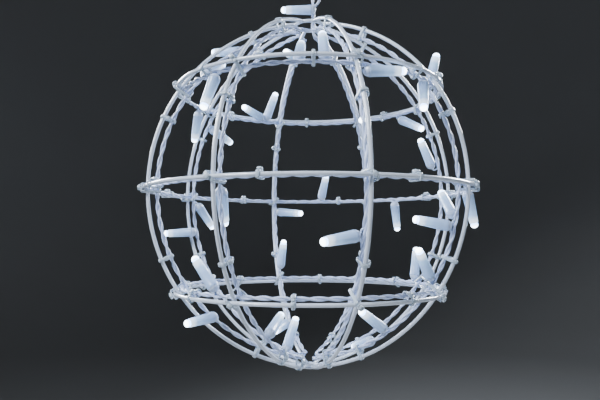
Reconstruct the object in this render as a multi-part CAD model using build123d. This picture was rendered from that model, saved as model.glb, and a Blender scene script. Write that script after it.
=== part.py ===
from build123d import *

import os
from math import acos, asin, ceil, cos, degrees, pi, radians, sin, tan

# Hanging ball light: a wire globe with a string of lights tied along its ribs and rings.
# Millimetres, +Z up, origin in the middle of the coupler's spigot, the photograph's viewer on the -Y side.
# A heading is counted in degrees from the front (-Y) towards the right (+X).

# Frame of round steel wire
BALL_DIAMETER = 300.0        # over the equator ring
RIB_SETBACK = 15.0           # a rib's bend centre lies this far past the ball's axis: slightly pointed poles
RIB_COUNT = 8
FIRST_RIB_HEADING = 197.0
RING_HEIGHT = 89.0           # upper and lower ring, above and below the equator
WIRE_DIAMETER = 3.2
WIRE_SIDES = 6               # flats that stand for the round section
WELD_GAP = 0.1               # ring wire to rib wire
TOP_RING_DIAMETER = 26.0     # pole rings, at the middle of the wire
BOTTOM_RING_DIAMETER = 16.0
RIB_END_GAP = 0.4            # rib end to pole ring
BEND_STEP = 10.0             # degrees: most that a wire or string turns between two flats
TURN_STEP = 18.0             # the same in the tight bends at the poles

# String of lights: two twisted conductors
STRING_DIAMETER = 4.0
STRING_SIDES = 6
LAY_GAP = 0.15               # string to the wire or string that it lies on
STRING_TURN_RADIUS = 14.0    # from the ball's axis, where a run leaves its rib to turn round a pole
RING_SPLICE_GAP = 8.0        # between the two ends of a ring's run, behind the last rib

# Bulb: tapered sleeve, rear plug and lamp
HOLDER_REAR_RADIUS = 4.75
HOLDER_FRONT_RADIUS = 3.8
HOLDER_LENGTH = 24.0
HOLDER_WALL = 1.0
PLUG_LENGTH = 4.5
PLUG_END_RADIUS = 1.5
PLUG_SHOULDER_DEPTH = 2.6
PLUG_COLLAR_LENGTH = 4.0
PLUG_FIT = 0.15
LAMP_DIAMETER = 5.0
LAMP_LENGTH = 11.5
LAMP_PROUD = 4.5             # lamp past the sleeve's mouth
LAMP_NOSE_LENGTH = 1.7
LAMP_NOSE_RADIUS = 1.3
LAMP_FIT = 0.2
BULB_SIDES = 8
SEAT_GAP = 0.2               # plug to string

# Cable tie
TIE_WIDTH = 2.6
TIE_THICKNESS = 0.9
TIE_GAP = 0.15
TIE_HEAD_HEIGHT = 3.0
TIE_HEAD_LENGTH = 4.4
TIE_HEAD_WIDTH = 3.8

# Lead from the top pole to the coupler
LEAD_DIAMETER = 2.2
LEAD_SIDES = 8
LEAD_SPACING = 4.0
LEAD_SEAT_GAP = 0.3          # riser's top to the taut conductor
LEAD_RISE = 60.0             # pole ring to the gland's mouth
LEAD_BEND_SHARE = 0.45       # of the shorter run beside a corner, taken by its bend
RISER_START_RADIUS = 24.0    # where the string leaves the last rib, from the ball's axis
RISER_RING_GAP = 1.4         # where it goes up through the pole ring
RISER_BEND = 12.0
RISER_OVER_BULB = 6.4        # top of the riser above the axis of the bulb over the pole
TOP_BULB_HEIGHT = 15.6       # axis of the bulb that lies over the pole, above the pole ring
TOP_BULB_SHIFT = 1.8         # its rear, to the right of the axis

# Two-pin screw coupler
GLAND_LENGTH = 14.0
GLAND_MOUTH_RADIUS = 4.6
GLAND_TOP_RADIUS = 6.6
GLAND_GROOVE_DEPTH = 0.8
GLAND_GROOVE_WIDTH = 1.8
GLAND_GROOVE_COUNT = 3
SOCKET_PLAY = 0.4            # lead end in the gland's mouth
SOCKET_DEPTH = 0.9
COUPLER_RADIUS = 8.6
COUPLER_LENGTH = 16.0
COUPLER_CHAMFER = 1.0
STEM_RADIUS = 4.5
STEM_LENGTH = 8.0
STEM_FIT = 0.08
NECK_RADIUS = 6.4
NECK_LENGTH = 3.0
COLLAR_RADIUS = 7.6
COLLAR_LENGTH = 2.0
SPIGOT_RADIUS = 5.0
SPIGOT_LENGTH = 11.0
SEAL_RADIUS = 6.7            # middle of the O-ring's section
SEAL_SECTION = 1.2
SEAL_SIDES = 6
SEAL_SINK = 0.7              # depth of the O-ring's groove
SEAL_FIT = 0.05
PIN_RADIUS = 1.0
PIN_SPACING = 4.4
PIN_PROUD = 6.0
PIN_DEPTH = 6.0
PIN_FIT = 0.05
NUT_RADIUS = 11.0
NUT_WALL = 2.4
NUT_LENGTH = 19.0
NUT_PLAY = 0.3
NUT_FLUTE_COUNT = 12
NUT_FLUTE_RADIUS = 1.2

# Bulbs on each rib: a ring, or the string's turn at the bottom pole, and the seat's degrees above it, the
# bulb's turn about the surface's normal and its lean out of the surface. Turn 0 points up the rib and 90 to
# its left as seen from outside; a negative lean points into the ball.
RIB_BULBS = {
    1: [
        ("upper", 36, -35, -25), ("equator", -5, 100, -40), ("lower", 4, 5, -45),
        ("lower", -26, -140, -15),
    ],
    2: [("upper", -6, 105, -20), ("equator", -4, 145, -10), ("equator", -14, -75, 55)],
    3: [("upper", 24, 135, 30), ("lower", -13, -40, 43), ("bottom", 3.2, 120, -75)],
    4: [("equator", -4, 165, -25), ("lower", -22, 165, -60)],
    5: [("equator", -16, 95, 15)],
    6: [
        ("equator", -9, -40, -35), ("equator", -13, 90, -55), ("lower", 4, 45, -30), ("lower", -20, 90, -45),
        ("lower", -28, -150, -5),
    ],
    7: [("equator", 12, -5, -10)],
}
# Bulbs on each ring: heading of the seat, turn and lean. Turn 0 points along the ring to the right, 90 up.
RING_BULBS = {
    "upper": [
        (309, 110, -20), (321, -90, -10), (252, -105, -15), (205, 105, 15), (210, 25, -10), (356, 90, -15),
        (6, 90, 0), (22, -10, 15), (52, -120, -15), (72, 75, 45), (124, -150, -5), (146, 135, -60),
    ],
    "equator": [(174, 105, -25), (138, -90, 10), (71, -80, 10)],
    "lower": [(321, 125, -15), (115, 85, -25)],
}
# Ties on every rib, in degrees above a ring, two more by the bottom pole, and ties on a ring past each rib
RIB_TIES = [("upper", 30), ("upper", -11), ("lower", 11), ("lower", -32)]
POLE_TIES = {4: ("bottom", 1.7), 6: ("bottom", 1.7)}
RING_TIE_SHIFT = {"upper": 29.5, "equator": 14.5, "lower": 22.5}

# Slack lead conductor up to its straight end below the gland: right, back and height from the top bulb's rear
SLACK_LEAD_ROUTE = [
    (3.4, 0.0, 3.35), (6.2, -0.3, 5.7), (8.2, -0.6, 10.0), (8.8, -0.9, 16.0), (7.4, -1.2, 22.5),
    (2.8, -1.6, 28.7), (-0.4, -1.9, 34.0),
]
SLACK_LEAD_END = 5.0

# Layers along the surface's normal, counted from the middle of a rib's wire
WIRE_RADIUS = WIRE_DIAMETER / 2
STRING_RADIUS = STRING_DIAMETER / 2
RING_LAYER = WIRE_DIAMETER + WELD_GAP
RING_STRING_LAYER = -(WIRE_RADIUS + LAY_GAP + STRING_RADIUS)
RIB_STRING_LAYER = RING_STRING_LAYER - STRING_DIAMETER - LAY_GAP
STRING_INSIDE = RIB_STRING_LAYER - STRING_RADIUS
RING_OUTSIDE = RING_LAYER + WIRE_RADIUS

# The globe's bends
RIB_RADIUS = BALL_DIAMETER / 2 - RING_OUTSIDE
RIB_BEND = RIB_RADIUS + RIB_SETBACK
RING_LATITUDE = degrees(asin(RING_HEIGHT / RIB_BEND))
RING_LATITUDES = {"upper": RING_LATITUDE, "equator": 0.0, "lower": -RING_LATITUDE}
RIB_HEADINGS = {i + 1: FIRST_RIB_HEADING + i * 360 / RIB_COUNT for i in range(RIB_COUNT)}


def end_latitude(from_axis, layer):
    return degrees(acos((from_axis + RIB_SETBACK) / (RIB_BEND + layer)))


def pole_height(ring_diameter):
    return RIB_BEND * sin(radians(end_latitude(ring_diameter / 2, 0)))


def rib_end(ring_diameter):
    return end_latitude(ring_diameter / 2 + WIRE_RADIUS + RIB_END_GAP, 0)


STRING_END = end_latitude(STRING_TURN_RADIUS, RIB_STRING_LAYER)
RISER_START = end_latitude(RISER_START_RADIUS, RIB_STRING_LAYER)
RISER_RADIUS = TOP_RING_DIAMETER / 2 - WIRE_RADIUS - RISER_RING_GAP - STRING_RADIUS
LEVELS = {**RING_LATITUDES, "bottom": -STRING_END}

# Heights from the origin
COLLAR_TOP = -SPIGOT_LENGTH / 2
COLLAR_BOTTOM = COLLAR_TOP - COLLAR_LENGTH
COUPLER_TOP = COLLAR_BOTTOM - NECK_LENGTH
GLAND_TOP = COUPLER_TOP - COUPLER_LENGTH
GLAND_MOUTH = GLAND_TOP - GLAND_LENGTH
TOP_POLE = GLAND_MOUTH - LEAD_RISE
BALL_CENTRE = Vector(0, 0, TOP_POLE - pole_height(TOP_RING_DIAMETER))
TOP_BULB_REAR = Vector(TOP_BULB_SHIFT, 0, TOP_POLE + TOP_BULB_HEIGHT)
UP = Vector(0, 0, 1)
ON_BASE = (Align.CENTER, Align.CENTER, Align.MIN)


def facing(heading):
    return Vector(sin(radians(heading)), -cos(radians(heading)), 0)


def above(level, shift):
    return LEVELS[level] + shift


# A station is a point on a run with its directions: along the run, to its side and out of the ball
def on_rib(rib, latitude, layer):
    radial = facing(RIB_HEADINGS[rib])
    out = radial * cos(radians(latitude)) + UP * sin(radians(latitude))
    along = UP * cos(radians(latitude)) - radial * sin(radians(latitude))
    point = BALL_CENTRE - radial * RIB_SETBACK + out * (RIB_BEND + layer)
    return point, along, out.cross(along), out


def on_ring(ring, heading, layer):
    latitude = RING_LATITUDES[ring]
    radial = facing(heading)
    out = radial * cos(radians(latitude)) + UP * sin(radians(latitude))
    along = facing(heading + 90)
    point = BALL_CENTRE - radial * RIB_SETBACK + out * (RIB_BEND + layer)
    return point, along, out.cross(along), out


def polygon(radius, sides):
    return [(radius * cos(2 * pi * i / sides), radius * sin(2 * pi * i / sides)) for i in range(sides)]


def skinned(rows, closed=False):
    """A solid with flat faces between neighbouring rows of points, and end faces unless the rows close."""
    bands = list(zip(rows, rows[1:]))
    outlines = [rows[0], rows[-1]]
    if closed:
        bands.append((rows[-1], rows[0]))
        outlines = []
    for near, far in bands:
        for i in range(len(near)):
            outlines.append([near[i - 1], near[i], far[i], far[i - 1]])
    return Solid(Shell([Face(Wire.make_polygon(outline)) for outline in outlines]))


def divided(marks, step):
    """Angles from the least mark to the greatest, through every mark, no further apart than step."""
    marks = sorted(set(marks))
    angles = marks[:1]
    for low, high in zip(marks, marks[1:]):
        count = ceil((high - low) / step)
        angles += [low + (high - low) * (i + 1) / count for i in range(count)]
    return angles


def bent_rod(pivot, spoke, along, reach, angles, diameter, sides):
    """A rod bent about pivot, at the angles counted from spoke towards along; a whole circle closes."""
    across = spoke.cross(along)
    closed = angles[-1] - angles[0] == 360
    rows = []
    for angle in angles[:-1] if closed else angles:
        outward = spoke * cos(radians(angle)) + along * sin(radians(angle))
        rows.append([pivot + outward * (reach + u) + across * v for u, v in polygon(diameter / 2, sides)])
    return skinned(rows, closed)


def rib_rod(rib, layer, low, high, bulbs, diameter, sides):
    """A rod along a rib, with a bend at every ring, tie and bulb, so that each sits on the true arc."""
    seats = [above(level, shift) for level, shift, turn, lean in bulbs]
    seats += [above(*mark) for mark in RIB_TIES] + list(RING_LATITUDES.values())
    if rib in POLE_TIES:
        seats.append(above(*POLE_TIES[rib]))
    radial = facing(RIB_HEADINGS[rib])
    angles = divided([low, high] + [seat for seat in seats if low < seat < high], BEND_STEP)
    return bent_rod(BALL_CENTRE - radial * RIB_SETBACK, radial, UP, RIB_BEND + layer, angles, diameter, sides)


def ring_rod(ring, start, arc, layer, bulbs, diameter, sides):
    """A rod along a ring, with a bend at every rib, tie and bulb."""
    seats = [heading for heading, turn, lean in bulbs] + list(RIB_HEADINGS.values())
    seats += [heading + RING_TIE_SHIFT[ring] for heading in RIB_HEADINGS.values()]
    seats = [start + (seat - start) % 360 for seat in seats]
    angles = divided([start, start + arc] + [seat for seat in seats if seat < start + arc], BEND_STEP)
    front = on_ring(ring, 0, layer)[0]
    return bent_rod(Vector(0, 0, front.Z), facing(0), facing(90), -front.Y, angles, diameter, sides)


def pole_ring(height, ring_diameter):
    pivot = BALL_CENTRE + UP * height
    angles = divided([0, 360], TURN_STEP)
    return bent_rod(pivot, facing(0), facing(90), ring_diameter / 2, angles, WIRE_DIAMETER, WIRE_SIDES)


def string_link(rib, pole):
    """The U-turn of the string from one rib to the next round a pole, tangent to both runs."""
    start, along, side, out = on_rib(rib, pole * STRING_END, RIB_STRING_LAYER)
    end = on_rib(rib + 1, pole * STRING_END, RIB_STRING_LAYER)[0]
    heading_in = along * pole
    meeting = start + heading_in * (STRING_TURN_RADIUS / sin(radians(STRING_END)))
    to_start = (start - meeting).normalized()
    bisector = (to_start + (end - meeting).normalized()).normalized()
    half_angle = radians(to_start.get_angle(bisector))
    centre = meeting + bisector * ((start - meeting).length / cos(half_angle))
    spoke = start - centre
    angles = divided([0, 180 - 2 * degrees(half_angle)], TURN_STEP)
    return bent_rod(
        centre, spoke.normalized(), heading_in, spoke.length, angles, STRING_DIAMETER, STRING_SIDES
    )


def lead_riser():
    """The string's end on the last rib, turned up through the top pole ring."""
    start, along, side, out = on_rib(RIB_COUNT, RISER_START, RIB_STRING_LAYER)
    corner = start + along * ((RISER_START_RADIUS - RISER_RADIUS) / sin(radians(RISER_START)))
    top = Vector(corner.X, corner.Y, TOP_BULB_REAR.Z + RISER_OVER_BULB)
    path = FilletPolyline(start, corner, top, radius=RISER_BEND)
    section = Plane(origin=start, x_dir=side, z_dir=along) * RegularPolygon(STRING_RADIUS, STRING_SIDES)
    return sweep(section, path), top


def tapered(stations, closed=False):
    """A straight faceted body about +Z through (height, radius) stations."""
    return skinned([[Vector(x, y, z) for x, y in polygon(r, BULB_SIDES)] for z, r in stations], closed)


def bulb_forms():
    """Sleeve, plug and lamp about +Z, with the origin at the middle of the plug's rounded rear."""
    bore_rear = HOLDER_REAR_RADIUS - HOLDER_WALL
    bore_front = LAMP_DIAMETER / 2 + LAMP_FIT
    sleeve = tapered([
        (0, HOLDER_REAR_RADIUS), (HOLDER_LENGTH, HOLDER_FRONT_RADIUS), (HOLDER_LENGTH, bore_front),
        (0, bore_rear),
    ], closed=True)
    collar = bore_rear + (bore_front - bore_rear) * PLUG_COLLAR_LENGTH / HOLDER_LENGTH - PLUG_FIT
    shoulder = (HOLDER_REAR_RADIUS ** 2 - PLUG_SHOULDER_DEPTH ** 2) ** 0.5
    plug = tapered([
        (-PLUG_LENGTH, PLUG_END_RADIUS), (-PLUG_SHOULDER_DEPTH, shoulder), (0, HOLDER_REAR_RADIUS),
        (0, collar), (PLUG_COLLAR_LENGTH, collar),
    ])
    tip = HOLDER_LENGTH + LAMP_PROUD
    lamp_radius = LAMP_DIAMETER / 2
    lamp = tapered([
        (tip - LAMP_LENGTH, lamp_radius), (tip - LAMP_NOSE_LENGTH, lamp_radius), (tip, LAMP_NOSE_RADIUS),
    ])
    return sleeve, plug, lamp


def bulb_place(station, turn, lean):
    """Seats a bulb's plug on the string, on the side that the bulb points to, and never on the outer side."""
    point, along, side, out = station
    level = along * cos(radians(turn)) + side * sin(radians(turn))
    pointing = level * cos(radians(lean)) + out * sin(radians(lean))
    seat = (side * pointing.dot(side) + out * min(pointing.dot(out), 0)).normalized()
    centre = point + seat * (STRING_RADIUS + SEAT_GAP + HOLDER_REAR_RADIUS)
    return Plane(origin=centre, z_dir=pointing).location


def tie(origin, x_dir, z_dir, inner, outer, half_width, head_outside):
    """A pulled tie round a bundle: its loop lies across z_dir and reaches from inner to outer."""
    low = inner - TIE_GAP
    high = outer + TIE_GAP
    half = half_width + TIE_GAP
    middle = (low + high) / 2
    band = Rectangle(2 * (half + TIE_THICKNESS), high - low + 2 * TIE_THICKNESS)
    band = chamfer(band.vertices(), TIE_THICKNESS)
    band -= Rectangle(2 * half, high - low)
    loop = Pos(0, middle, 0) * extrude(band, TIE_WIDTH / 2, both=True)
    rise = (TIE_THICKNESS + TIE_HEAD_HEIGHT) / 2
    if head_outside:
        head = Pos(0, high + rise, 0) * Box(TIE_HEAD_LENGTH, TIE_HEAD_HEIGHT, TIE_HEAD_WIDTH)
    else:
        head = Pos(-half - rise, middle, 0) * Box(TIE_HEAD_HEIGHT, TIE_HEAD_LENGTH, TIE_HEAD_WIDTH)
    return Plane(origin=origin, x_dir=x_dir, z_dir=z_dir).location * (loop + head)


def rib_tie(rib, latitude):
    point, along, side, out = on_rib(rib, latitude, 0)
    return tie(point, side, along, STRING_INSIDE, WIRE_RADIUS, STRING_RADIUS, False)


def ring_tie(ring, heading):
    point, along, side, out = on_ring(ring, heading, 0)
    inside = RING_STRING_LAYER - STRING_RADIUS
    return tie(point, side * -1, along * -1, inside, RING_OUTSIDE, STRING_RADIUS, False)


def crossing_tie(rib, ring):
    """A tie drawn slantwise over a rib, a ring and the two runs of string inside them."""
    point, along, side, out = on_rib(rib, RING_LATITUDES[ring], 0)
    half_width = STRING_RADIUS * 2 ** 0.5 + TIE_WIDTH / 2 + LAY_GAP
    return tie(point, side + along, along - side, STRING_INSIDE, RING_OUTSIDE, half_width, True)


def turned(outline):
    """A body turned about the Z axis from its (radius, height) outline."""
    face = make_face(Polyline(*[(r, 0, z) for r, z in outline], close=True))
    return revolve(face, Axis.Z)


def lead_gland():
    step = GLAND_LENGTH / (GLAND_GROOVE_COUNT + 1)
    slope = (GLAND_TOP_RADIUS - GLAND_MOUTH_RADIUS) / GLAND_LENGTH
    outline = [(0, GLAND_MOUTH), (GLAND_MOUTH_RADIUS, GLAND_MOUTH)]
    for i in range(GLAND_GROOVE_COUNT):
        for edge, depth in ((-0.5, 0), (0, 1), (0.5, 0)):
            at = (i + 1) * step + edge * GLAND_GROOVE_WIDTH
            outline.append((GLAND_MOUTH_RADIUS + slope * at - depth * GLAND_GROOVE_DEPTH, GLAND_MOUTH + at))
    outline += [(GLAND_TOP_RADIUS, GLAND_TOP), (0, GLAND_TOP)]
    gland = turned(outline)
    for y in (-LEAD_SPACING / 2, LEAD_SPACING / 2):
        socket = Cylinder(LEAD_DIAMETER / 2 + SOCKET_PLAY, SOCKET_DEPTH, align=ON_BASE)
        gland -= Pos(0, y, GLAND_MOUTH) * socket
    return gland


def coupler_body():
    socket = STEM_RADIUS + STEM_FIT
    floor = COUPLER_TOP - STEM_LENGTH - STEM_FIT
    return turned([
        (0, GLAND_TOP), (COUPLER_RADIUS - COUPLER_CHAMFER, GLAND_TOP),
        (COUPLER_RADIUS, GLAND_TOP + COUPLER_CHAMFER), (COUPLER_RADIUS, COUPLER_TOP), (socket, COUPLER_TOP),
        (socket, floor), (0, floor),
    ])


def pin_places():
    return [Pos(x, 0, SPIGOT_LENGTH / 2 - PIN_DEPTH) for x in (-PIN_SPACING / 2, PIN_SPACING / 2)]


def coupler_core():
    spigot_top = SPIGOT_LENGTH / 2
    groove_inner = SEAL_RADIUS - SEAL_SECTION / 2 - SEAL_FIT
    groove_outer = SEAL_RADIUS + SEAL_SECTION / 2 + SEAL_FIT
    core = turned([
        (0, COUPLER_TOP - STEM_LENGTH), (STEM_RADIUS, COUPLER_TOP - STEM_LENGTH), (STEM_RADIUS, COUPLER_TOP),
        (NECK_RADIUS, COUPLER_TOP), (NECK_RADIUS, COLLAR_BOTTOM), (COLLAR_RADIUS, COLLAR_BOTTOM),
        (COLLAR_RADIUS, COLLAR_TOP), (groove_outer, COLLAR_TOP), (groove_outer, COLLAR_TOP - SEAL_SINK),
        (groove_inner, COLLAR_TOP - SEAL_SINK), (groove_inner, COLLAR_TOP), (SPIGOT_RADIUS, COLLAR_TOP),
        (SPIGOT_RADIUS, spigot_top), (0, spigot_top),
    ])
    bore = Pos(0, 0, -PIN_FIT) * Cylinder(PIN_RADIUS + PIN_FIT, SPIGOT_LENGTH, align=ON_BASE)
    for place in pin_places():
        core -= place * bore
    return core


def contact_pins():
    pin = Cylinder(PIN_RADIUS, PIN_DEPTH + PIN_PROUD, align=ON_BASE)
    pin = chamfer(pin.edges().group_by(Axis.Z)[-1], PIN_RADIUS / 2)
    return [place * pin for place in pin_places()]


def seal_ring():
    middle = COLLAR_TOP - SEAL_SINK + SEAL_SECTION / 2 + SEAL_FIT
    return turned([(SEAL_RADIUS + u, middle + v) for u, v in polygon(SEAL_SECTION / 2, SEAL_SIDES)])


def coupling_nut():
    bottom = COUPLER_TOP + NUT_PLAY
    flange_top = COLLAR_BOTTOM - NUT_PLAY
    bore = NUT_RADIUS - NUT_WALL
    top = bottom + NUT_LENGTH
    nut = turned([
        (NECK_RADIUS + NUT_PLAY, bottom), (NUT_RADIUS, bottom), (NUT_RADIUS, top), (bore, top),
        (bore, flange_top), (NECK_RADIUS + NUT_PLAY, flange_top),
    ])
    flute = Pos(NUT_RADIUS, 0, bottom) * Cylinder(NUT_FLUTE_RADIUS, NUT_LENGTH, align=ON_BASE)
    for i in range(NUT_FLUTE_COUNT):
        nut -= Rot(0, 0, i * 360 / NUT_FLUTE_COUNT) * flute
    return nut


def taut_lead(start):
    """The straight conductor from the riser's top to its socket in the gland."""
    end = Vector(0, LEAD_SPACING / 2, GLAND_MOUTH)
    run = end - start
    section = Plane(origin=start, z_dir=run) * RegularPolygon(LEAD_DIAMETER / 2, LEAD_SIDES)
    print("taut lead", round(run.length, 1), "mm, from", start, "to", end)
    return extrude(section, run.length)


def slack_lead():
    """The bowed conductor from the top bulb's plug to its socket in the gland."""
    end = Vector(0, -LEAD_SPACING / 2, GLAND_MOUTH)
    points = [TOP_BULB_REAR + place for place in SLACK_LEAD_ROUTE] + [end - UP * SLACK_LEAD_END, end]
    radii = []
    for before, corner, after in zip(points, points[1:], points[2:]):
        turn = radians((corner - before).get_angle(after - corner))
        shorter = min((corner - before).length, (after - corner).length)
        radii.append(LEAD_BEND_SHARE * shorter / tan(turn / 2))
    path = FilletPolyline(*points, radius=radii)
    outset = Plane(origin=points[0], z_dir=points[1] - points[0])
    section = outset * RegularPolygon(LEAD_DIAMETER / 2, LEAD_SIDES)
    print("slack lead", round(path.length, 1), "mm, radii", [round(r, 1) for r in radii])
    return sweep(section, path)


nodes = {}
ribs = list(RIB_HEADINGS)
rings = list(RING_LATITUDES)
for rib in ribs:
    low = -rib_end(BOTTOM_RING_DIAMETER)
    high = rib_end(TOP_RING_DIAMETER)
    nodes[f"rib_{rib}"] = [rib_rod(rib, 0, low, high, [], WIRE_DIAMETER, WIRE_SIDES)]
    string_top = RISER_START if rib == RIB_COUNT else STRING_END
    bulbs = RIB_BULBS.get(rib, [])
    nodes[f"string_rib_{rib}"] = [
        rib_rod(rib, RIB_STRING_LAYER, -STRING_END, string_top, bulbs, STRING_DIAMETER, STRING_SIDES)
    ]
for ring in rings:
    start = RIB_HEADINGS[1]
    nodes[f"{ring}_ring"] = [ring_rod(ring, start, 360, RING_LAYER, [], WIRE_DIAMETER, WIRE_SIDES)]
    string_radius = on_ring(ring, 0, RING_STRING_LAYER)[0].Y * -1
    splice = degrees(RING_SPLICE_GAP / string_radius)
    start = RIB_HEADINGS[RIB_COUNT] + splice / 2
    nodes[f"string_{ring}_ring"] = [
        ring_rod(
            ring, start, 360 - splice, RING_STRING_LAYER, RING_BULBS[ring], STRING_DIAMETER, STRING_SIDES
        )
    ]
nodes["top_pole_ring"] = [pole_ring(pole_height(TOP_RING_DIAMETER), TOP_RING_DIAMETER)]
nodes["bottom_pole_ring"] = [pole_ring(-pole_height(BOTTOM_RING_DIAMETER), BOTTOM_RING_DIAMETER)]
nodes["string_top_links"] = [string_link(rib, 1) for rib in range(2, RIB_COUNT, 2)]
nodes["string_bottom_links"] = [string_link(rib, -1) for rib in range(1, RIB_COUNT, 2)]
riser, riser_top = lead_riser()
nodes["lead_riser"] = [riser]

bulb_places = {}
for rib, bulbs in RIB_BULBS.items():
    bulb_places[f"rib_{rib}"] = [
        bulb_place(on_rib(rib, above(level, shift), RIB_STRING_LAYER), turn, lean)
        for level, shift, turn, lean in bulbs
    ]
for ring, bulbs in RING_BULBS.items():
    bulb_places[ring] = [
        bulb_place(on_ring(ring, heading, RING_STRING_LAYER), turn, lean) for heading, turn, lean in bulbs
    ]
bulb_places["top"] = [Plane(origin=TOP_BULB_REAR, x_dir=UP, z_dir=(-1, 0, 0)).location]
sleeve, plug, lamp = bulb_forms()
for group, places in bulb_places.items():
    nodes[f"{group}_bulb_sleeves"] = [place * sleeve for place in places]
all_places = [place for places in bulb_places.values() for place in places]
nodes["bulb_plugs"] = [place * plug for place in all_places]
nodes["bulb_lamps"] = [place * lamp for place in all_places]

nodes["rib_ties"] = [rib_tie(rib, above(*mark)) for rib in ribs for mark in RIB_TIES]
nodes["rib_ties"] += [rib_tie(rib, above(*mark)) for rib, mark in POLE_TIES.items()]
for ring in rings:
    nodes[f"{ring}_ring_ties"] = [ring_tie(ring, RIB_HEADINGS[rib] + RING_TIE_SHIFT[ring]) for rib in ribs]
    nodes[f"{ring}_crossing_ties"] = [crossing_tie(rib, ring) for rib in ribs]

nodes["taut_lead"] = [taut_lead(riser_top + UP * LEAD_SEAT_GAP)]
nodes["slack_lead"] = [slack_lead()]
nodes["lead_gland"] = [lead_gland()]
nodes["coupler_body"] = [coupler_body()]
nodes["coupler_core"] = [coupler_core()]
nodes["contact_pins"] = contact_pins()
nodes["seal_ring"] = [seal_ring()]
nodes["coupling_nut"] = [coupling_nut()]

os.makedirs("parts", exist_ok=True)
for name, solids in nodes.items():
    export_step(solids[0] if len(solids) == 1 else Compound(children=solids), f"parts/{name}.step")
solid_count = sum(len(solids) for solids in nodes.values())
print(len(nodes), "nodes,", solid_count, "solids,", len(all_places), "bulbs")
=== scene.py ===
from math import acos, asin, cos, degrees, pi, radians, sin

import bpy
from mathutils import Matrix, Vector


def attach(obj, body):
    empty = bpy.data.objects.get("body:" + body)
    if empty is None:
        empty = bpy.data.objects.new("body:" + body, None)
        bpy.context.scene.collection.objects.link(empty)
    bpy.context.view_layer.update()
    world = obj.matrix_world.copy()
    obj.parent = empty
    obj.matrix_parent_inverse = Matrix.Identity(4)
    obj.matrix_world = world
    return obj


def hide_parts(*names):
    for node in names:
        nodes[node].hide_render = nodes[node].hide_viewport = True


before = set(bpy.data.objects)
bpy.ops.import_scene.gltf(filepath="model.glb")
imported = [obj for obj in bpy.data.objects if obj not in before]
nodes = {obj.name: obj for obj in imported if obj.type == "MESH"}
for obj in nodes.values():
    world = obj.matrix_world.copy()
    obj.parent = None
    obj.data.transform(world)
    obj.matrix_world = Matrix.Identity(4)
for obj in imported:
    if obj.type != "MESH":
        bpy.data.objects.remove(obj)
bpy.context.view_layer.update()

mm = 0.001
bpy.ops.object.select_all(action="DESELECT")

# camera at the photo's place: a little below the ball's middle, looking slightly up
photoCamera = {"place": (0, -0.5277, -0.3023), "lens": 34.2, "sensor": 36, "pitch": 3.95, "yaw": 0.95}
bpy.ops.object.camera_add(
    location=photoCamera["place"],
    rotation=(radians(90 + photoCamera["pitch"]), 0, radians(photoCamera["yaw"])),
)
camera = bpy.context.object
camera.data.lens = photoCamera["lens"]
camera.data.sensor_width = photoCamera["sensor"]
bpy.context.scene.camera = camera
print("camera set")


# materials

def newMaterial(name, colour, roughness):
    material = bpy.data.materials.new(name)
    material.use_nodes = True
    shader = material.node_tree.nodes["Principled BSDF"]
    shader.inputs["Base Color"].default_value = (*colour, 1)
    shader.inputs["Roughness"].default_value = roughness
    return material, shader


def addNode(material, kind, **inputs):
    node = material.node_tree.nodes.new(kind)
    for key, value in inputs.items():
        node.inputs[key].default_value = value
    return node


def wire(material, source, output, target, socket):
    material.node_tree.links.new(source.outputs[output], target.inputs[socket])


# plastic, rubber, paint or brass: cloudy colour, uneven gloss and a fine skin
surface = {"cloudDetail": 4, "skinDetail": 2, "glossFrom": (0.3, 0.7), "bumpDepth": 0.0002}


def buildSurfaceGroup():
    group = bpy.data.node_groups.new("unevenSurface", "ShaderNodeTree")
    for name, kind in (
        ("Colour", "NodeSocketColor"), ("Stain", "NodeSocketColor"), ("Stain Amount", "NodeSocketFloat"),
        ("Gloss Low", "NodeSocketFloat"), ("Gloss High", "NodeSocketFloat"), ("Cloud Scale", "NodeSocketFloat"),
        ("Skin Scale", "NodeSocketFloat"),
    ):
        group.interface.new_socket(name, in_out="INPUT", socket_type=kind)
    for name, kind in (
        ("Colour", "NodeSocketColor"), ("Roughness", "NodeSocketFloat"), ("Height", "NodeSocketFloat"),
    ):
        group.interface.new_socket(name, in_out="OUTPUT", socket_type=kind)
    add = group.nodes.new
    join = group.links.new
    inside = add("NodeGroupInput")
    outside = add("NodeGroupOutput")
    place = add("ShaderNodeTexCoord")
    clouds = add("ShaderNodeTexNoise")
    clouds.inputs["Detail"].default_value = surface["cloudDetail"]
    skin = add("ShaderNodeTexNoise")
    skin.inputs["Detail"].default_value = surface["skinDetail"]
    amount = add("ShaderNodeMath")
    amount.operation = "MULTIPLY"
    tint = add("ShaderNodeMix")
    tint.data_type = "RGBA"
    gloss = add("ShaderNodeMapRange")
    gloss.inputs["From Min"].default_value = surface["glossFrom"][0]
    gloss.inputs["From Max"].default_value = surface["glossFrom"][1]
    join(place.outputs["Object"], clouds.inputs["Vector"])
    join(place.outputs["Object"], skin.inputs["Vector"])
    join(inside.outputs["Cloud Scale"], clouds.inputs["Scale"])
    join(inside.outputs["Skin Scale"], skin.inputs["Scale"])
    join(clouds.outputs["Fac"], amount.inputs[0])
    join(inside.outputs["Stain Amount"], amount.inputs[1])
    join(amount.outputs[0], tint.inputs["Factor"])
    join(inside.outputs["Colour"], tint.inputs["A"])
    join(inside.outputs["Stain"], tint.inputs["B"])
    join(clouds.outputs["Fac"], gloss.inputs["Value"])
    join(inside.outputs["Gloss Low"], gloss.inputs["To Min"])
    join(inside.outputs["Gloss High"], gloss.inputs["To Max"])
    join(tint.outputs["Result"], outside.inputs["Colour"])
    join(gloss.outputs["Result"], outside.inputs["Roughness"])
    join(skin.outputs["Fac"], outside.inputs["Height"])
    return group


unevenSurface = buildSurfaceGroup()


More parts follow.
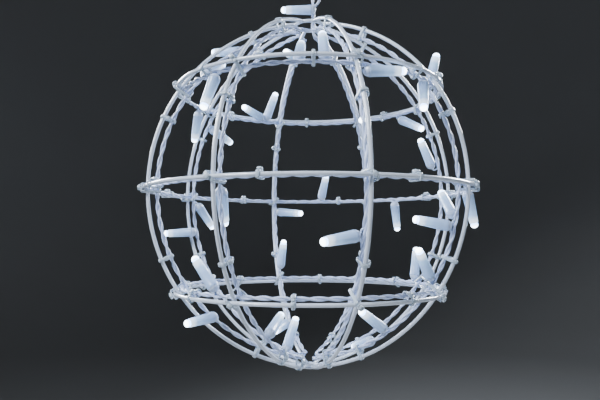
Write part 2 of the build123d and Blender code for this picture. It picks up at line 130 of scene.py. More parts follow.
# a look's "shader" holds what is the same all over and goes straight on the shader
def unevenMaterial(name, look):
    material, shader = newMaterial(name, look["colour"], look["gloss"][0])
    group = material.node_tree.nodes.new("ShaderNodeGroup")
    group.node_tree = unevenSurface
    group.inputs["Colour"].default_value = (*look["colour"], 1)
    group.inputs["Stain"].default_value = (*look["stain"], 1)
    group.inputs["Stain Amount"].default_value = look["stainAmount"]
    group.inputs["Gloss Low"].default_value = look["gloss"][0]
    group.inputs["Gloss High"].default_value = look["gloss"][1]
    group.inputs["Cloud Scale"].default_value = look["cloudScale"]
    group.inputs["Skin Scale"].default_value = look["skinScale"]
    bump = addNode(material, "ShaderNodeBump", Strength=look["bump"], Distance=surface["bumpDepth"])
    wire(material, group, "Colour", shader, "Base Color")
    wire(material, group, "Roughness", shader, "Roughness")
    wire(material, group, "Height", bump, "Height")
    wire(material, bump, "Normal", shader, "Normal")
    for socket, value in look.get("shader", {}).items():
        shader.inputs[socket].default_value = value
    return material


# the wire's coat is white: the blue-grey of its colour and stain is painted cool light
coatLook = {
    "colour": (0.74, 0.81, 0.92), "stain": (0.54, 0.62, 0.76), "stainAmount": 0.4, "gloss": (0.1, 0.24),
    "cloudScale": 60, "skinScale": 1500, "bump": 0.2, "shader": {"Coat Weight": 0.6, "Coat Roughness": 0.08},
}
wireCoat = unevenMaterial("whiteWireCoat", coatLook)

# the string's PVC is white: the blue of its colour and stain is painted cool light from the lamps
pvcLook = {
    "colour": (0.62, 0.71, 0.93), "stain": (0.42, 0.52, 0.78), "stainAmount": 0.5, "gloss": (0.22, 0.4),
    "cloudScale": 90, "skinScale": 900, "bump": 0.2,
    "shader": {"Subsurface Weight": 0.08, "Subsurface Radius": (0.001, 0.001, 0.001)},
}
stringPvc = unevenMaterial("stringPvc", pvcLook)

# the ties' nylon is milky white: the blue of its colour and stain is painted cool light from the lamps
nylonLook = {
    "colour": (0.7, 0.8, 0.9), "stain": (0.5, 0.62, 0.74), "stainAmount": 0.5, "gloss": (0.2, 0.38),
    "cloudScale": 240, "skinScale": 1200, "bump": 0.2,
    "shader": {
        "Transmission Weight": 0.25, "Subsurface Weight": 0.25, "Subsurface Radius": (0.0012, 0.0012, 0.0012),
    },
}
tieNylon = unevenMaterial("tieNylon", nylonLook)

couplerLook = {
    "colour": (0.82, 0.83, 0.82), "stain": (0.66, 0.67, 0.66), "stainAmount": 0.3, "gloss": (0.36, 0.5),
    "cloudScale": 70, "skinScale": 2200, "bump": 0.3,
}
couplerPlastic = unevenMaterial("couplerPlastic", couplerLook)

glandLook = {
    "colour": (0.76, 0.77, 0.76), "stain": (0.6, 0.61, 0.6), "stainAmount": 0.4, "gloss": (0.55, 0.7),
    "cloudScale": 90, "skinScale": 1600, "bump": 0.35,
}
glandRubber = unevenMaterial("glandRubber", glandLook)

sealLook = {
    "colour": (0.02, 0.02, 0.022), "stain": (0.05, 0.05, 0.05), "stainAmount": 0.5, "gloss": (0.5, 0.65),
    "cloudScale": 200, "skinScale": 1800, "bump": 0.3,
}
sealRubber = unevenMaterial("sealRubber", sealLook)

brassLook = {
    "colour": (0.78, 0.6, 0.28), "stain": (0.55, 0.38, 0.16), "stainAmount": 0.4, "gloss": (0.18, 0.34),
    "cloudScale": 300, "skinScale": 2500, "bump": 0.1, "shader": {"Metallic": 1},
}
pinBrass = unevenMaterial("pinBrass", brassLook)

# the plug's plastic is white: the blue of its colour and stain is painted cool light from the lamps
plugLook = {
    "colour": (0.6, 0.71, 0.9), "stain": (0.45, 0.56, 0.78), "stainAmount": 0.4, "gloss": (0.22, 0.38),
    "cloudScale": 150, "skinScale": 1000, "bump": 0.15,
}
plugPlastic = unevenMaterial("bulbPlug", plugLook)


# milky sleeve and clear lamp: lit from inside, most at the lamp's tip, by each vertex's share of the way there
def litMaterial(name, look):
    material = unevenMaterial(name, look)
    along = material.node_tree.nodes.new("ShaderNodeAttribute")
    along.attribute_name = "glow"
    place = material.node_tree.nodes.new("ShaderNodeTexCoord")
    haze = addNode(material, "ShaderNodeTexNoise", Scale=look["hazeScale"], Detail=look["hazeDetail"])
    share = material.node_tree.nodes.new("ShaderNodeMath")
    share.operation = "MULTIPLY_ADD"
    share.inputs[1].default_value = look["haze"]
    ramp = material.node_tree.nodes.new("ShaderNodeValToRGB")
    ramp.color_ramp.interpolation = "EASE"
    ramp.color_ramp.elements[0].color = (*look["dim"], 1)
    ramp.color_ramp.elements[1].color = (*look["bright"], 1)
    middle = ramp.color_ramp.elements.new(look["half"])
    middle.color = (*look["mid"], 1)
    wire(material, place, "Object", haze, "Vector")
    wire(material, haze, "Fac", share, 0)
    wire(material, along, "Fac", share, 2)
    wire(material, share, "Value", ramp, "Fac")
    wire(material, ramp, "Color", material.node_tree.nodes["Principled BSDF"], "Emission Color")
    return material


# the sleeve is milky white: the darker blue of its colour and stain is painted cool light from the lamps
sleeveLook = {
    "colour": (0.44, 0.59, 0.84), "stain": (0.34, 0.49, 0.78), "stainAmount": 0.5, "gloss": (0.26, 0.42),
    "cloudScale": 220, "skinScale": 1400, "bump": 0.2, "hazeScale": 260, "hazeDetail": 3, "haze": 0.16, "half": 0.62,
    "dim": (0.02, 0.035, 0.06), "mid": (0.14, 0.25, 0.4), "bright": (0.8, 0.92, 1.0),
    "shader": {
        "Emission Strength": 1.8, "Subsurface Weight": 0.3, "Subsurface Radius": (0.003, 0.003, 0.003),
        "Coat Weight": 0.3,
    },
}
sleeveMilky = litMaterial("sleeveMilky", sleeveLook)

lampLook = {
    "colour": (0.92, 0.96, 1.0), "stain": (0.8, 0.9, 1.0), "stainAmount": 0.3, "gloss": (0.05, 0.1),
    "cloudScale": 500, "skinScale": 900, "bump": 0.05, "hazeScale": 600, "hazeDetail": 3, "haze": 0.12, "half": 0.45,
    "dim": (0.03, 0.07, 0.14), "mid": (0.2, 0.38, 0.7), "bright": (0.8, 0.92, 1.0),
    "shader": {"Emission Strength": 13, "Coat Weight": 0.8},
}
lampGlow = litMaterial("lampGlow", lampLook)
print("materials made")


# modelling helpers

def pick(piece):
    bpy.ops.object.select_all(action="DESELECT")
    piece.select_set(True)
    bpy.context.view_layer.objects.active = piece


def placing(point, xAxis, zAxis):
    z = zAxis.normalized()
    x = (xAxis - z * xAxis.dot(z)).normalized()
    y = z.cross(x)
    turn = Matrix((x, y, z)).transposed().to_4x4()
    return Matrix.Translation(point * mm) @ turn


def applyPlace(piece):
    pick(piece)
    bpy.ops.object.transform_apply(location=True, rotation=True, scale=True)


def smooth(piece, angle):
    pick(piece)
    bpy.ops.object.shade_smooth_by_angle(angle=radians(angle))


def finishWith(piece, name, kind, **values):
    modifier = piece.modifiers.new(name, kind)
    for key, value in values.items():
        setattr(modifier, key, value)
    pick(piece)
    bpy.ops.object.modifier_apply(modifier=name)


def joinPieces(pieces, name):
    bpy.ops.object.select_all(action="DESELECT")
    for piece in pieces:
        piece.select_set(True)
    bpy.context.view_layer.objects.active = pieces[0]
    if len(pieces) > 1:
        bpy.ops.object.join()
    pieces[0].name = name
    return pieces[0]


def copyTo(form, place):
    piece = form.copy()
    piece.data = form.data.copy()
    bpy.context.collection.objects.link(piece)
    piece.matrix_world = place
    bpy.context.view_layer.update()
    applyPlace(piece)
    return piece


# in edit mode: welds the seams, turns every face outwards and leaves
def closeMesh(weld):
    bpy.ops.mesh.select_all(action="SELECT")
    bpy.ops.mesh.remove_doubles(threshold=weld)
    bpy.ops.mesh.normals_make_consistent(inside=False)
    bpy.ops.object.mode_set(mode="OBJECT")


# in edit mode: draws the chosen ring through stations of height and radius
def drawRings(stations, unit, base):
    for (lastHeight, lastRadius), (height, radius) in zip(stations, stations[1:]):
        bpy.ops.mesh.extrude_region_move(TRANSFORM_OT_translate={"value": (0, 0, (height - lastHeight) * unit)})
        bpy.ops.transform.resize(
            value=(radius / lastRadius, radius / lastRadius, 1), center_override=(0, 0, base + height * unit)
        )


def emptyCurve(name):
    bpy.ops.curve.primitive_nurbs_path_add()
    curve = bpy.context.object
    curve.name = name
    curve.data.splines.clear()
    curve.data.dimensions = "3D"
    return curve


# smooth open line along a route, in metres
def drawLine(curve, route, resolution):
    line = curve.data.splines.new("NURBS")
    line.points.add(len(route) - 1)
    for point, place in zip(line.points, route):
        point.co = (*place, 1)
    line.order_u = 3
    line.use_endpoint_u = True
    line.resolution_u = resolution
    return line


def makeRound(curve, diameter, resolution):
    curve.data.bevel_depth = diameter / 2 * mm
    curve.data.bevel_resolution = resolution
    curve.data.use_fill_caps = True


def dress(piece, material, body, slotName, *replaced):
    piece.data.materials.clear()
    piece.data.materials.append(material)
    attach(piece, body)
    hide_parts(*replaced)


# the lead's two conductors, free between the ball and the gland: routes in millimetres above the top pole,
# lengths in metres
lead = {
    "diameter": 2.2, "pole": -100.5, "resolution": 8, "roundness": 4, "tautLength": 0.0382, "slackLength": 0.0453,
    "slack": [
        (5.2, 0.0, 18.95), (8.0, -0.3, 21.3), (10.0, -0.6, 25.6), (10.6, -0.9, 31.6), (9.2, -1.2, 38.1),
        (4.6, -1.6, 44.3), (1.4, -1.9, 49.6), (0.0, -2.0, 55.0), (0.0, -2.0, 60.0),
    ],
    "taut": [(3.756, 7.064, 22.3), (2.5, 5.38, 34.9), (1.25, 3.69, 47.4), (0.0, 2.0, 60.0)],
}


def leadPoint(place):
    x, y, z = place
    return (x * mm, y * mm, (z + lead["pole"]) * mm)


def leadCurve(name, route, node):
    cord = emptyCurve(name)
    drawLine(cord, [leadPoint(place) for place in route], lead["resolution"])
    makeRound(cord, lead["diameter"], lead["roundness"])
    dress(cord, stringPvc, "ball", "string_pvc", node)
    return cord


tautLead = leadCurve("tautLead", lead["taut"], "taut_lead")
slackLead = leadCurve("slackLead", lead["slack"], "slack_lead")
print("lead laid")


# the globe's sizes, in millimetres; headings count from the front to the right
globe = {
    "centre": -258.133, "setback": 15.0, "ribRadius": 145.1, "ringHeight": 89.0, "ribCount": 8, "firstRib": 197,
    "wire": 3.2, "ringLayer": 3.3, "topRing": 13.0, "bottomRing": 8.0, "ribEndGap": 2.0,
    "string": 4.0, "ringString": -3.75, "ribString": -7.9, "stringTurn": 14.0, "riserStart": 24.0, "spliceGap": 8.0,
    "topLinkRibs": (2, 4, 6), "bottomLinkRibs": (1, 3, 5, 7),
}
ribBend = globe["ribRadius"] + globe["setback"]
ribNumbers = range(1, globe["ribCount"] + 1)
ringLatitude = degrees(asin(globe["ringHeight"] / ribBend))
latitudes = {"upper": ringLatitude, "equator": 0, "lower": -ringLatitude}
ballCentre = Vector((0, 0, globe["centre"]))
up = Vector((0, 0, 1))


def endLatitude(fromAxis, layer):
    return degrees(acos((fromAxis + globe["setback"]) / (ribBend + layer)))


ribTop = endLatitude(globe["topRing"] + globe["ribEndGap"], 0)
ribBottom = endLatitude(globe["bottomRing"] + globe["ribEndGap"], 0)
stringEndLatitude = endLatitude(globe["stringTurn"], globe["ribString"])
riserLatitude = endLatitude(globe["riserStart"], globe["ribString"])
ribMarks = {**latitudes, "bottom": -stringEndLatitude}


def ribHeading(rib):
    return globe["firstRib"] + (rib - 1) * 360 / globe["ribCount"]


def facing(heading):
    return Vector((sin(radians(heading)), -cos(radians(heading)), 0))


# point on a run, with the directions along it, to its side and out of the ball
def ribStation(rib, latitude, layer):
    radial = facing(ribHeading(rib))
    out = radial * cos(radians(latitude)) + up * sin(radians(latitude))
    ahead = up * cos(radians(latitude)) - radial * sin(radians(latitude))
    point = ballCentre - radial * globe["setback"] + out * (ribBend + layer)
    return point, ahead, out.cross(ahead), out


def ringStation(ring, heading, layer):
    latitude = latitudes[ring]
    radial = facing(heading)
    out = radial * cos(radians(latitude)) + up * sin(radians(latitude))
    point = ballCentre - radial * globe["setback"] + out * (ribBend + layer)
    return point, facing(heading + 90), out.cross(facing(heading + 90)), out


# bent wire: a round section spun about the bend's centre
wireLook = {"sides": 14, "ribSteps": 72, "ringSteps": 144, "poleSteps": 48, "weld": 0.00001, "smooth": 40}


def bentWire(name, point, ahead, pivot, arc, steps):
    spoke = (point - pivot).normalized()
    bpy.ops.mesh.primitive_circle_add(
        vertices=wireLook["sides"], radius=globe["wire"] / 2 * mm, fill_type="NOTHING" if arc == 360 else "NGON"
    )
    piece = bpy.context.object
    piece.name = name
    piece.matrix_world = placing(point, spoke, ahead)
    applyPlace(piece)
    bpy.ops.object.mode_set(mode="EDIT")
    bpy.ops.mesh.select_all(action="SELECT")
    # spin turns left-handed
    bpy.ops.mesh.spin(steps=steps, angle=radians(arc), center=pivot * mm, axis=ahead.cross(spoke))
    closeMesh(wireLook["weld"])
    smooth(piece, wireLook["smooth"])
    return piece


for rib in ribNumbers:
    point, ahead, side, out = ribStation(rib, -ribBottom, 0)
    pivot = point - out * ribBend
    piece = bentWire(f"ribWire{rib}", point, ahead, pivot, ribBottom + ribTop, wireLook["ribSteps"])
    dress(piece, wireCoat, "ball", "wire_coating", f"rib_{rib}")
for ring in latitudes:
    point, ahead, side, out = ringStation(ring, 0, globe["ringLayer"])
    piece = bentWire(f"{ring}RingWire", point, ahead, Vector((0, 0, point.z)), 360, wireLook["ringSteps"])
    dress(piece, wireCoat, "ball", "wire_coating", f"{ring}_ring")
for name, pole in (("top", 1), ("bottom", -1)):
    radius = globe[f"{name}Ring"]
    middle = ballCentre + up * pole * ribBend * sin(radians(endLatitude(radius, 0)))
    start = middle + facing(0) * radius
    piece = bentWire(f"{name}PoleWire", start, facing(90), middle, 360, wireLook["poleSteps"])
    dress(piece, wireCoat, "ball", "wire_coating", f"{name}_pole_ring")
print("wires bent")


# string: two conductors twisted straight, then bent along each run; phases turn the twist's start
twist = {
    "strand": 1.96, "pitch": 27.0, "sides": 8, "stepsPerTurn": 12, "leastSteps": 4, "pathResolution": 64, "smooth": 60,
    "ribPhase": 47, "ringPhase": 31, "linkPhase": 20, "riserPhase": 70,
}


def twistedPair(name, length, phase):
    strands = []
    for turn in (0, pi):
        angle = radians(phase) + turn
        bpy.ops.mesh.primitive_circle_add(
            vertices=twist["sides"], radius=twist["strand"] / 2 * mm, fill_type="NOTHING",
            location=(0, cos(angle) * twist["strand"] / 2 * mm, sin(angle) * twist["strand"] / 2 * mm),
            rotation=(0, pi / 2, 0),
        )
        applyPlace(bpy.context.object)
        strands.append(bpy.context.object)
    piece = joinPieces(strands, name)
    turns = length / twist["pitch"]
    steps = max(twist["leastSteps"], round(turns * twist["stepsPerTurn"]))
    finishWith(
        piece, "twist", "SCREW", axis="X", angle=turns * 2 * pi, screw_offset=length * mm, steps=steps,
        render_steps=steps, use_merge_vertices=False,
    )
    bpy.ops.object.mode_set(mode="EDIT")
    bpy.ops.mesh.select_all(action="SELECT")
    bpy.ops.mesh.fill_holes(sides=twist["sides"])
    bpy.ops.mesh.select_all(action="SELECT")
    bpy.ops.mesh.normals_make_consistent(inside=False)
    bpy.ops.object.mode_set(mode="OBJECT")
    return piece


def bendAlong(piece, path):
    piece.matrix_world = path.matrix_world
    bpy.context.view_layer.update()
    finishWith(piece, "bend", "CURVE", object=path, deform_axis="POS_X")
    applyPlace(piece)
    bpy.data.objects.remove(path)
    smooth(piece, twist["smooth"])


def arcRun(name, point, ahead, pivot, arc, phase):
    spoke = point - pivot
    piece = twistedPair(name, spoke.length * radians(arc), phase)
    bpy.ops.curve.primitive_bezier_circle_add(radius=spoke.length * mm)
    path = bpy.context.object
    path.data.resolution_u = twist["pathResolution"]
    path.data.dimensions = "3D"
    # the bend starts on the drawn circle's -Y side and runs clockwise
    axis = spoke.normalized().cross(ahead)
    path.matrix_world = placing(pivot, ahead * -1, axis * -1)
    bpy.context.view_layer.update()
    bendAlong(piece, path)
    return piece


for rib in ribNumbers:
    point, ahead, side, out = ribStation(rib, -stringEndLatitude, globe["ribString"])
    pivot = point - out * (ribBend + globe["ribString"])
    top = riserLatitude if rib == globe["ribCount"] else stringEndLatitude
    piece = arcRun(f"stringRib{rib}", point, ahead, pivot, stringEndLatitude + top, twist["ribPhase"] * rib)
    dress(piece, stringPvc, "ball", "string_pvc", f"string_rib_{rib}")
for index, ring in enumerate(latitudes):
    radius = -ringStation(ring, 0, globe["ringString"])[0].y
    splice = degrees(globe["spliceGap"] / radius)
    start = ribHeading(globe["ribCount"]) + splice / 2
    point, ahead, side, out = ringStation(ring, start, globe["ringString"])
    pivot = Vector((0, 0, point.z))
    piece = arcRun(f"string{ring.title()}Ring", point, ahead, pivot, 360 - splice, twist["ringPhase"] * index)
    dress(piece, stringPvc, "ball", "string_pvc", f"string_{ring}_ring")


# the string turns from a rib to the next one round the pole
def poleLink(rib, pole):
    start, ahead, side, out = ribStation(rib, pole * stringEndLatitude, globe["ribString"])
    end = ribStation(rib + 1, pole * stringEndLatitude, globe["ribString"])[0]
    heading = ahead * pole
    meeting = start + heading * (globe["stringTurn"] / sin(radians(stringEndLatitude)))
    toStart = (start - meeting).normalized()
    bisector = (toStart + (end - meeting).normalized()).normalized()
    halfAngle = toStart.angle(bisector)
    middle = meeting + bisector * ((start - meeting).length / cos(halfAngle))
    return arcRun("link", start, heading, middle, 180 - 2 * degrees(halfAngle), twist["linkPhase"] * rib)


topLinks = joinPieces([poleLink(rib, 1) for rib in globe["topLinkRibs"]], "stringTopLinks")
dress(topLinks, stringPvc, "ball", "string_pvc", "string_top_links")
bottomLinks = joinPieces([poleLink(rib, -1) for rib in globe["bottomLinkRibs"]], "stringBottomLinks")
dress(bottomLinks, stringPvc, "ball", "string_pvc", "string_bottom_links")

# the string's end on the last rib turns up through the top pole ring
riser = {"radius": 8.0, "bend": 9.3, "rise": 22.0, "resolution": 32}
start, ahead, side, out = ribStation(globe["ribCount"], riserLatitude, globe["ribString"])
corner = start + ahead * ((globe["riserStart"] - riser["radius"]) / sin(radians(riserLatitude)))
riserTop = Vector((corner.x, corner.y, lead["pole"] + riser["rise"]))
riserRoute = [start, corner - ahead * riser["bend"], corner, corner + up * riser["bend"], riserTop]
riserPath = emptyCurve("riserPath")
riserLine = drawLine(riserPath, [point * mm for point in riserRoute], riser["resolution"])
riserString = twistedPair("stringRiser", riserLine.calc_length() / mm, twist["riserPhase"])
bendAlong(riserString, riserPath)
dress(riserString, stringPvc, "ball", "string_pvc", "lead_riser")
print("string laid")


# bulb: sleeve, plug and lamp drawn from rings of height and radius, about +Z, with the origin at the sleeve's rear;
# glow runs from 0 to 1 between two heights, to a power
bulb = {
    "sides": 20, "seat": 4.75, "seatGap": 0.2, "weld": 0.000005, "smooth": 35,
    "sleeve": [
        (0.2, 3.7), (0.0, 4.5), (0.25, 4.75), (1.5, 4.75), (1.8, 4.58), (12.0, 4.15), (23.0, 3.65), (23.7, 3.55),
        (24.0, 3.35), (24.0, 2.9), (23.6, 2.72), (16.0, 3.0), (4.3, 3.5), (0.2, 3.7),
    ],
    "plug": [
        (-4.4, 1.4), (-4.1, 2.1), (-3.4, 3.1), (-2.5, 3.85), (-1.4, 4.4), (-1.2, 4.3), (-0.9, 4.3), (-0.7, 4.55),
        (-0.15, 4.6), (-0.1, 3.5), (4.0, 3.4),
    ],
    "lamp": [
        (17.0, 2.4), (23.9, 2.4), (24.1, 2.75), (24.5, 2.8), (25.1, 3.1), (26.0, 3.15), (26.9, 2.82), (27.7, 2.15),
        (28.2, 1.3), (28.42, 0.45),
    ],
    "sleeveGlow": (0, 24, 2), "lampGlow": (22.5, 28, 1),
}


def drawnUp(name, stations, closed):
    height, radius = stations[0]
    bpy.ops.mesh.primitive_circle_add(
        vertices=bulb["sides"], radius=radius * mm, location=(0, 0, height * mm),
        fill_type="NOTHING" if closed else "NGON",
    )
    piece = bpy.context.object
    piece.name = name
    applyPlace(piece)
    bpy.ops.object.mode_set(mode="EDIT")
    bpy.ops.mesh.select_all(action="SELECT")
    drawRings(stations, mm, 0)
    closeMesh(bulb["weld"])
    smooth(piece, bulb["smooth"])
    return piece


def addGlow(form, low, high, power):
    glow = form.data.attributes.new("glow", "FLOAT", "POINT")
    for vertex in form.data.vertices:
        glow.data[vertex.index].value = max(0, (vertex.co.z / mm - low) / (high - low)) ** power


sleeveForm = drawnUp("sleeveForm", bulb["sleeve"], True)
plugForm = drawnUp("plugForm", bulb["plug"], False)
lampForm = drawnUp("lampForm", bulb["lamp"], False)
addGlow(sleeveForm, *bulb["sleeveGlow"])
addGlow(lampForm, *bulb["lampGlow"])

# where each bulb sits: degrees above a ring or the string's bottom turn on a rib, or heading on a ring;
# then its turn about the normal and its lean outwards
ribBulbs = {
    1: [
        ("upper", 36, -35, -25), ("equator", -5, 100, -40), ("lower", 4, 5, -45),
        ("lower", -26, -140, -15),
    ],
    2: [("upper", -6, 105, -20), ("equator", -4, 145, -10), ("equator", -14, -75, 55)],
    3: [("upper", 24, 135, 30), ("lower", -13, -40, 43), ("bottom", 3.2, 120, -75)],
    4: [("equator", -4, 165, -25), ("lower", -22, 165, -60)],
    5: [("equator", -16, 95, 15)],
    6: [
        ("equator", -9, -40, -35), ("equator", -13, 90, -55), ("lower", 4, 45, -30), ("lower", -20, 90, -45),
        ("lower", -28, -150, -5),
    ],
    7: [("equator", 12, -5, -10)],
}
ringBulbs = {
    "upper": [
        (309, 110, -20), (321, -90, -10), (252, -105, -15), (205, 105, 15), (210, 25, -10), (356, 90, -15),
        (6, 90, 0), (22, -10, 15), (52, -120, -15), (72, 75, 45), (124, -150, -5), (146, 135, -60),
    ],
    "equator": [(174, 105, -25), (138, -90, 10), (71, -80, 10)],
    "lower": [(321, 125, -15), (115, 85, -25)],
}
topBulb = {"shift": 1.8, "height": 15.6}
pigtail = {
    "diameter": 1.5, "rear": 4.2, "reach": 5.4, "bow": 2.0, "clear": 0.6, "sink": 0.6, "spread": 0.8,
    "resolution": 4, "roundness": 1, "smooth": 60,
}
pigtailRoutes = []


# seats a bulb on the string, and notes the two conductors from its plug's rear down to the string
def bulbPlace(station, turn, lean):
    point, ahead, side, out = station
    level = ahead * cos(radians(turn)) + side * sin(radians(turn))
    pointing = level * cos(radians(lean)) + out * sin(radians(lean))
    seat = (side * pointing.dot(side) + out * min(pointing.dot(out), 0)).normalized()
    middle = point + seat * (globe["string"] / 2 + bulb["seatGap"] + bulb["seat"])
    rear = middle - pointing * pigtail["rear"]
    # the more the bulb lies along the string, the more both conductors land behind it
    lie = pointing.dot(ahead)
    for way in (1, -1):
        apart = way * (1 - abs(lie))
        sideways = ahead.cross(seat) * (way * pigtail["spread"] * abs(lie))
        landing = point + ahead * (pigtail["reach"] * (apart - lie)) + seat * pigtail["sink"] + sideways
        bowed = rear - pointing * (pigtail["clear"] + pigtail["bow"] * abs(lie)) + sideways
        pigtailRoutes.append([
            rear + sideways, bowed + ahead * (apart * pigtail["bow"]), landing + seat * pigtail["bow"], landing,
        ])
    return placing(middle, out, pointing)


bulbPlaces = {}
for rib, seats in ribBulbs.items():
    bulbPlaces[f"rib_{rib}"] = [
        bulbPlace(ribStation(rib, ribMarks[mark] + shift, globe["ribString"]), turn, lean)
        for mark, shift, turn, lean in seats
    ]
for ring, seats in ringBulbs.items():
    bulbPlaces[ring] = [
        bulbPlace(ringStation(ring, heading, globe["ringString"]), turn, lean) for heading, turn, lean in seats
    ]
topSeat = Vector((topBulb["shift"], 0, lead["pole"] + topBulb["height"]))
bulbPlaces["top"] = [placing(topSeat, up, Vector((-1, 0, 0)))]
for group, places in bulbPlaces.items():
    sleeves = joinPieces([copyTo(sleeveForm, place) for place in places], f"{group}_sleeves")
    dress(sleeves, sleeveMilky, "ball", "bulb_sleeve", f"{group}_bulb_sleeves")
allPlaces = [place for places in bulbPlaces.values() for place in places]
pigtails = emptyCurve("pigtails")
for route in pigtailRoutes:
    drawLine(pigtails, [point * mm for point in route], pigtail["resolution"])
makeRound(pigtails, pigtail["diameter"], pigtail["roundness"])
pick(pigtails)
bpy.ops.object.convert(target="MESH")
smooth(pigtails, pigtail["smooth"])
plugs = joinPieces([copyTo(plugForm, place) for place in allPlaces] + [pigtails], "plugs")
dress(plugs, plugPlastic, "ball", "bulb_plug", "bulb_plugs")
lamps = joinPieces([copyTo(lampForm, place) for place in allPlaces], "lamps")
dress(lamps, lampGlow, "ball", "lamp", "bulb_lamps")
for form in (sleeveForm, plugForm, lampForm):
    bpy.data.objects.remove(form)
print("bulbs seated", len(allPlaces))


# coupler pieces, whose CAD shape is right: merged copies with eased edges
ease = {
    "weld": 0.000002, "flat": 1, "segments": 2, "corner": 35, "smooth": 30,
    "gland": 0.25, "body": 0.3, "core": 0.2, "nut": 0.3,
}


def easedCopy(node, bevel, material, body, slotName):
    piece = nodes[node].copy()
    piece.data = nodes[node].data.copy()
    for key in list(piece.keys()):
        del piece[key]
    piece.parent = None
    bpy.context.collection.objects.link(piece)
    piece.name = node + "_eased"
    pick(piece)
    bpy.ops.object.mode_set(mode="EDIT")
    bpy.ops.mesh.select_all(action="SELECT")
    bpy.ops.mesh.remove_doubles(threshold=ease["weld"])
    bpy.ops.mesh.dissolve_limited(angle_limit=radians(ease["flat"]))
    bpy.ops.object.mode_set(mode="OBJECT")
    finishWith(
        piece, "ease", "BEVEL", width=bevel * mm, segments=ease["segments"], limit_method="ANGLE",
        angle_limit=radians(ease["corner"]),
    )
    smooth(piece, ease["smooth"])
    dress(piece, material, body, slotName, node)
    return piece


gland = easedCopy("lead_gland", ease["gland"], glandRubber, "coupler", "gland_rubber")
couplerPieces = [
    gland,
    easedCopy("coupler_body", ease["body"], couplerPlastic, "coupler", "coupler_plastic"),
    easedCopy("coupler_core", ease["core"], couplerPlastic, "coupler", "coupler_plastic"),
    easedCopy("coupling_nut", ease["nut"], couplerPlastic, "nut", "coupler_plastic"),
]
for node, material in (("contact_pins", pinBrass), ("seal_ring", sealRubber)):
    nodes[node].data.materials.clear()
    nodes[node].data.materials.append(material)
    couplerPieces.append(nodes[node])
leadPoint(lead["taut"][0])
leadPoint(lead["slack"][0])
print("coupler eased")


# cable tie: a rounded band round the bundle, a round-edged head and the cut tail
tie = {
    "width": 2.6, "thickness": 0.9, "gap": 0.15, "corner": 1.5, "cornerSegments": 3, "edge": 0.18, "edgeSegments": 1,
    "headHeight": 3.0, "headLength": 4.4, "headWidth": 3.8, "headRound": 1.05, "headSegments": 2,
    "tailLength": 1.7, "tailHeight": 0.9, "tailWidth": 2.2, "tailRound": 0.2, "tailSegments": 1, "smooth": 50,
}
ribTies = [("upper", 30), ("upper", -11), ("lower", 11), ("lower", -32)]
poleTies = {4: ("bottom", 1.7), 6: ("bottom", 1.7)}
ringTieShift = {"upper": 29.5, "equator": 14.5, "lower": 22.5}


def roundedBlock(middle, size, rounding, segments):
    bpy.ops.mesh.primitive_cube_add(size=1, location=[value * mm for value in middle])
    block = bpy.context.object
    block.scale = [value * mm for value in size]
    applyPlace(block)
    bpy.ops.object.mode_set(mode="EDIT")
    bpy.ops.mesh.select_all(action="SELECT")
    bpy.ops.mesh.bevel(offset=rounding * mm, segments=segments)
    bpy.ops.object.mode_set(mode="OBJECT")
    return block


# round a bundle from inner to outer, with the head on its outside or at its side
def tieForm(name, inner, outer, halfWidth, headOutside):
    low, high, half = inner - tie["gap"], outer + tie["gap"], halfWidth + tie["gap"]
    middle = (low + high) / 2
    bpy.ops.mesh.primitive_plane_add(size=1, location=(0, middle * mm, 0))
    band = bpy.context.object
    band.scale = (2 * (half + tie["thickness"]) * mm, (high - low + 2 * tie["thickness"]) * mm, 1)
    applyPlace(band)
    bpy.ops.object.mode_set(mode="EDIT")
    bpy.ops.mesh.select_all(action="SELECT")
    bpy.ops.mesh.bevel(offset=tie["corner"] * mm, segments=tie["cornerSegments"], affect="VERTICES")
    bpy.ops.mesh.select_all(action="SELECT")
    bpy.ops.mesh.inset(thickness=tie["thickness"] * mm)
    bpy.ops.mesh.delete(type="FACE")
    bpy.ops.object.mode_set(mode="OBJECT")
    finishWith(band, "width", "SOLIDIFY", thickness=tie["width"] * mm, offset=0)
    finishWith(
        band, "edges", "BEVEL", width=tie["edge"] * mm, segments=tie["edgeSegments"], limit_method="ANGLE"
    )
    rise = (tie["thickness"] + tie["headHeight"]) / 2
    tailAway = (tie["headLength"] + tie["tailLength"]) / 2 - tie["tailRound"]
    head = [tie["headLength"], tie["headHeight"], tie["headWidth"]]
    tail = [tie["tailLength"], tie["tailHeight"], tie["tailWidth"]]
    headPlace, tailPlace = (0, high + rise, 0), (tailAway, high + rise, 0)
    if not headOutside:
        head[:2] = reversed(head[:2])
        tail[:2] = reversed(tail[:2])
        headPlace, tailPlace = (-half - rise, middle, 0), (-half - rise, middle + tailAway, 0)
    headBlock = roundedBlock(headPlace, head, tie["headRound"], tie["headSegments"])
    tailBlock = roundedBlock(tailPlace, tail, tie["tailRound"], tie["tailSegments"])
    form = joinPieces([band, headBlock, tailBlock], name)
    smooth(form, tie["smooth"])
    return form


wireHalf, stringHalf = globe["wire"] / 2, globe["string"] / 2
ringOutside = globe["ringLayer"] + wireHalf
stringInside = globe["ribString"] - stringHalf
# a crossing's tie lies across both strings at 45 degrees
slant = 2 ** 0.5
crossingHalf = stringHalf * slant + tie["width"] / 2 + tie["gap"]
ribTieForm = tieForm("ribTieForm", stringInside, wireHalf, stringHalf, False)
ringTieForm = tieForm("ringTieForm", globe["ringString"] - stringHalf, ringOutside, stringHalf, False)
crossingTieForm = tieForm("crossingTieForm", stringInside, ringOutside, crossingHalf, True)


def ribTiePlace(rib, mark, shift):
    point, ahead, side, out = ribStation(rib, ribMarks[mark] + shift, 0)
    return placing(point, side, ahead)


def ringTiePlace(ring, heading):
    point, ahead, side, out = ringStation(ring, heading, 0)
    return placing(point, side * -1, ahead * -1)


